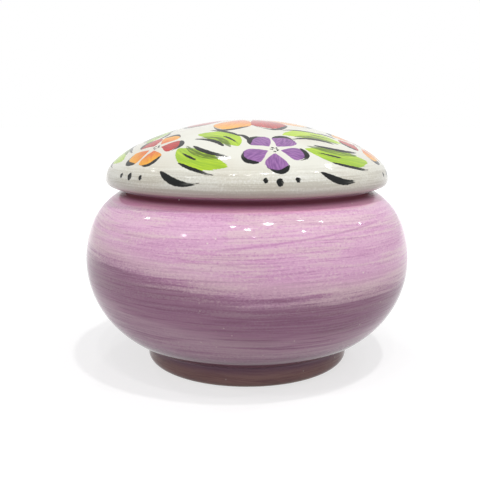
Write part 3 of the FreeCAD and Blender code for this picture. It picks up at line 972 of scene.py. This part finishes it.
@dataclass(frozen=True)
class Stroke:
    """One brush stroke on the lid, in the plane that the dome unrolls to round its top, in millimetres."""

    paint: Paint
    brush: Brush
    start: Vector
    middle: Vector
    end: Vector
    width: float
    tone: float

    def at(self, share: float, aside: float = 0.0) -> Vector:
        """Finds a place beside the stroke's spine.

        Args:
            share: how far along the spine.
            aside: how far to its left, in millimetres.

        Returns:
            The place.
        """
        pull = self.middle * 2 - (self.start + self.end) / 2
        place = self.start * (1 - share) ** 2 + pull * 2 * share * (1 - share) + self.end * share ** 2
        heading = ((pull - self.start) * (1 - share) + (self.end - pull) * share).normalized()
        return place + Vector((-heading.y, heading.x)) * aside

    def beside(self, paint: Paint, brush: Brush, first: float, last: float, aside: float,
               width: float) -> "Stroke":
        """Makes a stroke that runs beside a stretch of this one.

        Args:
            paint: its colour.
            brush: its brush.
            first: where along this stroke it begins.
            last: where along this stroke it ends.
            aside: how far to the left it runs, in millimetres.
            width: its greatest half width.

        Returns:
            The new stroke.
        """
        places = [self.at(share, aside) for share in (first, (first + last) / 2, last)]
        return Stroke(paint, brush, *places, width, self.tone)

    def lay(self, places: np.ndarray, pieces: int = 20) -> tuple[np.ndarray, np.ndarray, np.ndarray]:
        """Finds how the stroke lies to many places.

        Args:
            places: the places, a row each.
            pieces: into how many straight pieces the spine is divided.

        Returns:
            For each place how far outside the stroke it is, how far across it and its share of the way along.
        """
        spine = np.array([self.at(index / pieces) for index in range(pieces + 1)])
        step = np.diff(spine, axis=0)
        offset = places[:, None, :] - spine[None, :-1]
        share = np.clip((offset * step).sum(2) / (step ** 2).sum(1), 0, 1)
        away = np.linalg.norm(offset - share[..., None] * step, axis=2)
        best = away.argmin(1)
        rows = np.arange(len(places))
        along = (best + share[rows, best]) / pieces
        peak, blunt = self.brush.value
        half = self.width * np.sin(np.pi * along ** peak).clip(0) ** blunt
        left = step[best, 0] * offset[rows, best, 1] - step[best, 1] * offset[rows, best, 0]
        near = away[rows, best]
        return near - half, np.copysign(near, left), along


@dataclass(frozen=True)
class Flower:
    """One kind of blossom: how many petals, how far out they begin and end, and their greatest half width."""

    petals: int
    inner: float
    outer: float
    width: float


class FlowerPainting:
    """A generic painted wreath: a bright crown blossom, a ring of small blossoms and leaves, and dark dots.

    Distances are in millimetres down the dome from its top, and turns in degrees from the front, rightwards.
    """

    BEYOND = 3.0
    DOME_END = 54.0
    CROWN = Flower(8, 4.5, 22.0, 5.9)
    CROWN_TURN = -20.0
    SMALL = Flower(5, 2.0, 9.6, 3.7)
    SMALL_COUNT = 6
    SMALL_TURN = 12.0
    RING = 38.5
    RIM = 51.6

    def __init__(self, seed: int) -> None:
        """Starts with an empty lid and a hand whose small irregularities follow from the seed."""
        self.hand = random.Random(seed)
        self.strokes: list[Stroke] = []

    def jitter(self, amount: float) -> float:
        """Returns a small random number of either sign."""
        return self.hand.uniform(-amount, amount)

    def spot(self, reach: float, turn: float) -> Vector:
        """Returns a place by its distance and its turn."""
        angle = math.radians(turn)
        return Vector((reach * math.sin(angle), -reach * math.cos(angle)))

    def stroke(self, paint: Paint, brush: Brush, start: Vector, end: Vector, bend: float, width: float,
               tone: float) -> Stroke:
        """Lays one stroke.

        Args:
            paint: its colour.
            brush: its brush.
            start: where it begins.
            end: where it ends.
            bend: how far its middle bows to the left, as a share of its length.
            width: its greatest half width.
            tone: which shade of the paint, from 0 to 1.

        Returns:
            The stroke.
        """
        way = end - start
        middle = (start + end) / 2 + Vector((-way.y, way.x)) * bend
        made = Stroke(paint, brush, start, middle, end, width, tone)
        self.strokes.append(made)
        return made

    def leaf(self, root: Vector, tip: Vector, bend: float, width: float) -> None:
        """Paints a leaf: a bright stroke, an olive shade along its inner side and dark lines along its edges.

        Args:
            root: where it begins.
            tip: its point.
            bend: how far it bows to the left.
            width: its greatest half width.
        """
        leaf = self.stroke(Paint.LEAF, Brush.LEAF, root, tip, bend, width, self.hand.random())
        inwards = width if bend < 0 else -width
        for paint, brush, first, last, aside, half in (
            (Paint.SHADE, Brush.LEAF, 0.02, 0.9, 0.55, width * 0.34),
            (Paint.INK, Brush.LINE, 0.12, 1.0, 0.92, 0.8),
            (Paint.INK, Brush.LINE, 0.3, 0.9, -0.9, 0.6),
            (Paint.INK, Brush.COMMA, 0.5, 0.05, -0.1, 0.45),
        ):
            self.strokes.append(leaf.beside(paint, brush, first, last, inwards * aside, half))

    def blossom(self, middle: Vector, kind: Flower, turn: float, paint: Paint) -> None:
        """Paints a blossom, each petal with a dark cap, round a dotted middle.

        Args:
            middle: its middle.
            kind: its shape.
            turn: the first petal's direction.
            paint: the petals' colour.
        """
        for index in range(kind.petals):
            heading = self.spot(1.0, turn + 360 * index / kind.petals + self.jitter(4))
            reach = kind.outer * (1 + self.jitter(0.06))
            tone = 0.9 - (index % 2) * 0.8
            petal = self.stroke(paint, Brush.PETAL, middle + heading * kind.inner, middle + heading * reach,
                                self.jitter(0.08), kind.width * (1 + self.jitter(0.08)), tone)
            side = kind.width * 1.04
            cap = [petal.at(0.68, side), petal.at(1.05, self.jitter(0.5)), petal.at(0.7, -side)]
            self.strokes.append(Stroke(Paint.INK, Brush.COMMA, *cap, 0.85, self.hand.random()))
        for index in range(5):
            place = middle + self.spot(kind.inner * 0.45, turn + 72 * index)
            self.stroke(Paint.INK, Brush.DAB, place, place + self.spot(0.7, turn + 40 * index), 0.0, 0.6, 0.3)

    def sprig(self, turn: float) -> None:
        """Paints two leaves that lie along the wreath, one curving to the rim and one to the crown.

        Args:
            turn: the direction of the sprig's middle.
        """
        sway = self.jitter(2.5)
        self.leaf(self.spot(38.5, turn - 15), self.spot(46.5, turn + 14 + sway), -0.12, 4.4)
        self.leaf(self.spot(36.5, turn + 14), self.spot(28.5, turn - 18 - sway), -0.12, 4.2)
        curl = self.spot(49.0, turn - 15), self.spot(52.0, turn + 3)
        self.stroke(Paint.INK, Brush.COMMA, *curl, -0.16, 1.1, self.hand.random())
        curl = self.spot(33.0, turn + 19), self.spot(27.5, turn + 7)
        self.stroke(Paint.INK, Brush.COMMA, *curl, -0.2, 0.8, 0.5)

    def dots(self, turn: float, step: float, width: float) -> None:
        """Paints a row of three dots along the rim, the middle one the largest.

        Args:
            turn: the direction of the middle dot.
            step: how many degrees lie between two dots.
            width: the middle dot's half width.
        """
        for place in (-1, 0, 1):
            spot = self.spot(self.RIM + self.jitter(0.4), turn + place * step + self.jitter(0.8))
            size = width * (1 - 0.28 * abs(place))
            way = self.spot(size, turn + 80)
            self.stroke(Paint.INK, Brush.DAB, spot - way, spot + way, 0.0, size, self.hand.random())

    def compose(self) -> None:
        """Lays out the crown blossom, the ring of small blossoms and sprigs, and the dots along the rim."""
        self.blossom(Vector((0.0, 0.0)), self.CROWN, self.CROWN_TURN, Paint.WARM)
        step = 360.0 / self.SMALL_COUNT
        for index in range(self.SMALL_COUNT):
            turn = self.SMALL_TURN + step * index
            paint = Paint.WARM if index % 2 else Paint.PURPLE
            self.blossom(self.spot(self.RING, turn), self.SMALL, turn + 36 * (index % 2), paint)
            self.dots(turn, 6.0, 1.25)
            self.sprig(turn + step / 2)

    def dry(self, piece: bpy.types.Object) -> None:
        """Writes the strokes on a lid's vertices, for its material to read.

        Args:
            piece: the lid, with the length of its profile up to each vertex in "profile_run".
        """
        shape = piece.data
        count = len(shape.vertices)
        spots = np.empty(count * 3)
        run = np.empty(count)
        shape.vertices.foreach_get("co", spots)
        shape.attributes["profile_run"].data.foreach_get("value", run)
        spots = spots.reshape(-1, 3)[:, :2]
        plane = spots * (run / np.hypot(*spots.T).clip(1e-6))[:, None]
        on_dome = run < self.DOME_END
        for paint in Paint:
            mark = np.tile((self.BEYOND, 0.0, 0.0), (count, 1))
            tone = np.zeros(count)
            for stroke in (stroke for stroke in self.strokes if stroke.paint is paint):
                corners = np.array([stroke.at(share) for share in (0, 0.25, 0.5, 0.75, 1)])
                low = corners.min(0) - stroke.width - self.BEYOND
                high = corners.max(0) + stroke.width + self.BEYOND
                near = np.flatnonzero(on_dome & (plane > low).all(1) & (plane < high).all(1))
                edge, across, along = stroke.lay(plane[near])
                closer = edge < mark[near, 0]
                chosen = near[closer]
                mark[chosen] = np.stack((edge, across, along), 1)[closer]
                tone[chosen] = stroke.tone
            marks = shape.attributes.new(f"{paint.value}_mark", "FLOAT_VECTOR", "POINT")
            marks.data.foreach_set("vector", mark.ravel())
            tones = shape.attributes.new(f"{paint.value}_tone", "FLOAT", "POINT")
            tones.data.foreach_set("value", tone)
        LOG.info("%d brush strokes on %s", len(self.strokes), piece.name)


@dataclass(frozen=True)
class LidPlaces:
    """Where along the lid's profile, in millimetres from the top, its bare clay begins and ends."""

    seat_line: float
    flange_line: float


@dataclass
class Lid:
    """The domed lid, with the flange that keeps it in the middle of the mouth.

    A wipe is the length of the profile, in millimetres, between a corner and the edge of the glaze near it.
    """

    seat_height: float = SEAT_HEIGHT
    radius: float = 47.5 * MM
    rise: float = 21.6 * MM
    crown_angle: float = 24.5
    cheek_round: float = 32.4 * MM
    edge_round: float = 7.7 * MM
    edge_drop: float = 2.2 * MM
    wall: float = WALL
    flange_radius: float = 36.5 * MM
    bore_radius: float = 32.5 * MM
    flange_depth: float = 6.0 * MM
    flange_round: float = 1.0 * MM
    flange_root: float = 0.8 * MM
    hollow_round: float = 1.5 * MM
    steps: int = 480
    uneven_above: float = 2.0 * MM
    unevenness: float = 0.1 * MM
    unevenness_seed: float = 8.0
    painting_seed: int = 5
    seat_wipe: float = 5.4
    flange_wipe: float = 0.4

    def centres(self) -> tuple[tuple[float, float], tuple[float, float], float]:
        """Works out the dome's arcs.

        Returns:
            The centres of the crown's and the cheek's arcs, and the angle from upright where the edge begins.
        """
        turn = math.radians(self.crown_angle)
        gap = self.cheek_round - self.edge_round
        spread = self.radius - self.edge_round + self.cheek_round * math.sin(turn)
        lean = math.tan(turn / 2) * spread - (self.rise - self.edge_drop) + self.cheek_round * math.cos(turn)
        edge_turn = turn / 2 + math.acos(math.cos(turn / 2) * lean / gap)
        crown_round = (spread - gap * math.sin(edge_turn)) / math.sin(turn)
        crown_up = self.seat_height + self.rise - crown_round
        step = crown_round - self.cheek_round
        cheek = (step * math.sin(turn), crown_up + step * math.cos(turn))
        return (0.0, crown_up), cheek, math.degrees(edge_turn)

    def draw_outside(self, pen: Pen) -> None:
        """Draws from the top over the dome and the rounded edge to the seat.

        Args:
            pen: the pen, on the axis at the top.
        """
        crown, cheek, edge_turn = self.centres()
        up = self.seat_height + self.edge_drop
        pen.arc(crown, -self.crown_angle, 74)
        pen.arc(cheek, self.crown_angle - edge_turn, 22)
        pen.arc((self.radius - self.edge_round, up), edge_turn - 90, 12)
        pen.arc((self.radius - self.edge_drop, up), -90, 6)

    def draw_flange(self, pen: Pen) -> tuple[float, float]:
        """Draws along the seat and round the flange.

        Args:
            pen: the pen, at the seat's outer edge.

        Returns:
            The lengths of the profile where the bare clay begins and ends.
        """
        bottom = self.seat_height - self.flange_depth
        turn_up = bottom + self.flange_round
        root = self.flange_radius + self.flange_root
        pen.line(root, self.seat_height, 5)
        seat_line = pen.length() - self.seat_wipe
        pen.arc((root, self.seat_height - self.flange_root), 90, 3)
        pen.line(self.flange_radius, turn_up, 2)
        pen.arc((self.flange_radius - self.flange_round, turn_up), -90, 3)
        pen.line(self.bore_radius + self.flange_round, bottom)
        flange_line = pen.length() + self.flange_wipe
        pen.arc((self.bore_radius + self.flange_round, turn_up), -90, 3)
        return seat_line, flange_line

    def draw_inside(self, pen: Pen) -> None:
        """Draws up the bore, over the shelf and along the hollow of the dome to the axis.

        Args:
            pen: the pen, at the foot of the bore.
        """
        crown, cheek, _ = self.centres()
        shelf = self.seat_height + self.wall
        corner_up = shelf + self.hollow_round
        reach = self.cheek_round - self.wall - self.hollow_round
        corner_turn = math.asin((corner_up - cheek[1]) / reach)
        corner = cheek[0] + reach * math.cos(corner_turn)
        pen.line(self.bore_radius, shelf - self.hollow_round, 4)
        pen.arc((self.bore_radius + self.hollow_round, shelf - self.hollow_round), -90, 3)
        pen.line(corner, shelf, 2)
        pen.arc((corner, corner_up), 90 + math.degrees(corner_turn), 7)
        pen.arc(cheek, 90 - self.crown_angle - math.degrees(corner_turn), 4)
        pen.arc(crown, self.crown_angle, 14)

    def build(self) -> bpy.types.Object:
        """Turns the lid, paints it and dresses it.

        Returns:
            The lid.
        """
        pen = Pen(self.seat_height + self.rise)
        self.draw_outside(pen)
        seat_line, flange_line = self.draw_flange(pen)
        self.draw_inside(pen)
        piece = pen.turn("lid_painted", self.steps)
        painting = FlowerPainting(self.painting_seed)
        painting.compose()
        painting.dry(piece)
        low = self.seat_height + self.uneven_above
        top = self.seat_height + self.rise
        hand_turned(piece, low, top, self.unevenness, self.unevenness_seed)
        dress(piece, WhiteGlaze().material(LidPlaces(seat_line, flange_line)), "lid")
        return piece


@dataclass(frozen=True)
class Lamp:
    """One round lamp on the ceiling.

    Its place is given in ceiling heights right of and in front of the object, then its share of the light and
    its diameter in metres.
    """

    right: float
    front: float
    share: float
    size: float = 0.08


@dataclass
class Studio:
    """A plain pale floor, soft ceiling light and the camera of the photograph."""

    ceiling: float = 1.6
    lamp_power: float = 27.3
    ambient_back: float = 0.25
    ambient_front: float = 0.56
    ambient_tint: Colour = (0.995, 0.99, 1.0, 1.0)
    floor_radius: float = 6.0
    floor_paint: Colour = grey(0.38)
    floor_glow: Colour = grey(0.68)
    floor_glow_fade: Fade = (60.0, 420.0)
    floor_seen_by_object: Colour = (0.5, 0.47, 0.48, 1.0)
    camera_away: float = 232.5 * MM
    camera_up: float = 82.5 * MM
    camera_pitch: float = 11.32
    lens: float = 50.65
    sensor: float = 36.0
    lens_shift: tuple[float, float] = (-0.0146, 0.029)
    nearest: float = 10.0 * MM
    lamps: tuple[Lamp, ...] = (
        Lamp(0.19, 0.29, 4.4, 0.09), Lamp(-0.145, -0.32, 0.9, 0.14), Lamp(0.45, 0.08, 0.5),
        Lamp(0.01, 0.5, 1.2), Lamp(0.66, 0.47, 1.3), Lamp(0.64, -0.40, 0.8), Lamp(-0.84, 0.58, 1.5),
        Lamp(-0.98, -0.32, 1.3), Lamp(1.43, -0.42, 1.0), Lamp(0.09, 0.84, 0.3), Lamp(0.70, 0.03, 0.4),
        Lamp(-0.14, 0.40, 0.7),
    )

    def either(self, bench: Bench, share: Value | Socket, first: bpy.types.Node,
               second: bpy.types.Node) -> bpy.types.Node:
        """Returns a mix of two shaders: the first where the share is 0 and the second where it is 1."""
        return bench.node("ShaderNodeMixShader", {}, {0: share, 1: first.outputs[0], 2: second.outputs[0]})

    def seen(self, bench: Bench) -> Value:
        """Finds the rays that carry the background to the camera, straight, mirrored or through glass.

        Args:
            bench: the nodes of the floor or the room.

        Returns:
            1 for such a ray and 0 for any other.
        """
        path = bench.node("ShaderNodeLightPath", {}, {}).outputs
        names = ("Is Camera Ray", "Is Glossy Ray", "Is Transmission Ray")
        camera, glossy, through = (Value(bench, path[name]) for name in names)
        return camera.over(glossy).over(through)

    def build_floor(self) -> None:
        """Lays a round white floor, which keeps the object's shadow and is clear from below."""
        mesh = bmesh.new()
        bmesh.ops.create_circle(mesh, cap_ends=True, segments=96, radius=self.floor_radius)
        shape = bpy.data.meshes.new("floor")
        mesh.to_mesh(shape)
        mesh.free()
        floor = put("floor", shape)
        bench = Bench(bpy.data.materials.new("white_floor"))
        x, y, _ = bench.millimetres()
        far = ((x * x + y * y) ** 0.5).rise(*self.floor_glow_fade)
        glow = bench.mix(far, self.floor_glow, grey(1.0))
        pale = bench.node("ShaderNodeBsdfDiffuse", {}, {"Color": self.floor_paint})
        shine = bench.node("ShaderNodeEmission", {}, {"Color": glow})
        shown = bench.node("ShaderNodeAddShader", {}, {0: pale.outputs[0], 1: shine.outputs[0]})
        dull = bench.node("ShaderNodeBsdfDiffuse", {}, {"Color": self.floor_seen_by_object})
        below = bench.node("ShaderNodeNewGeometry", {}, {}).outputs["Backfacing"]
        clear = bench.node("ShaderNodeBsdfTransparent", {}, {})
        look = self.either(bench, below, self.either(bench, self.seen(bench), dull, shown), clear)
        bench.node("ShaderNodeOutputMaterial", {}, {0: look.outputs[0]})
        shape.materials.append(bench.owner)

    def build_light(self) -> None:
        """Hangs the lamps from the ceiling and sets the soft light of the room."""
        total = sum(lamp.share for lamp in self.lamps)
        for index, lamp in enumerate(self.lamps):
            light = bpy.data.lights.new(f"lamp_{index}", "AREA")
            light.shape = "DISK"
            light.size = lamp.size
            light.energy = self.lamp_power * lamp.share / total
            hung = put(light.name, light)
            hung.location = Vector((lamp.right, -lamp.front, 1.0)) * self.ceiling
            hung.rotation_euler = hung.location.to_track_quat("Z", "Y").to_euler()
        world = bpy.data.worlds.new("room")
        bpy.context.scene.world = world
        bench = Bench(world)
        across, away, _ = bench.parts(bench.node("ShaderNodeTexCoord", {}, {}).outputs["Generated"])
        ahead = across * -0.1 - away
        level = self.ambient_back + ahead.rise(-0.5, 0.8) * (self.ambient_front - self.ambient_back)
        soft = bench.node("ShaderNodeBackground", {}, {"Color": self.ambient_tint, "Strength": level})
        white = bench.node("ShaderNodeBackground", {}, {"Color": grey(1.0)})
        both = self.either(bench, self.seen(bench), soft, white)
        bench.node("ShaderNodeOutputWorld", {}, {0: both.outputs[0]})

    def build_camera(self) -> None:
        """Puts the camera where the photograph was taken from."""
        lens = bpy.data.cameras.new("camera")
        lens.lens = self.lens
        lens.sensor_width = self.sensor
        lens.shift_x, lens.shift_y = self.lens_shift
        lens.clip_start = self.nearest
        camera = put("camera", lens)
        camera.location = (0.0, -self.camera_away, self.camera_up)
        camera.rotation_euler = (math.radians(90 - self.camera_pitch), 0.0, 0.0)
        bpy.context.scene.camera = camera
        bpy.context.scene.view_settings.view_transform = "Standard"


def main() -> None:
    """Builds the bowl, the lid and the studio."""
    logging.basicConfig(level=logging.INFO, format="%(name)s: %(message)s")
    Bowl().build()
    Lid().build()
    studio = Studio()
    studio.build_floor()
    studio.build_light()
    studio.build_camera()


if __name__ == "__main__":
    main()
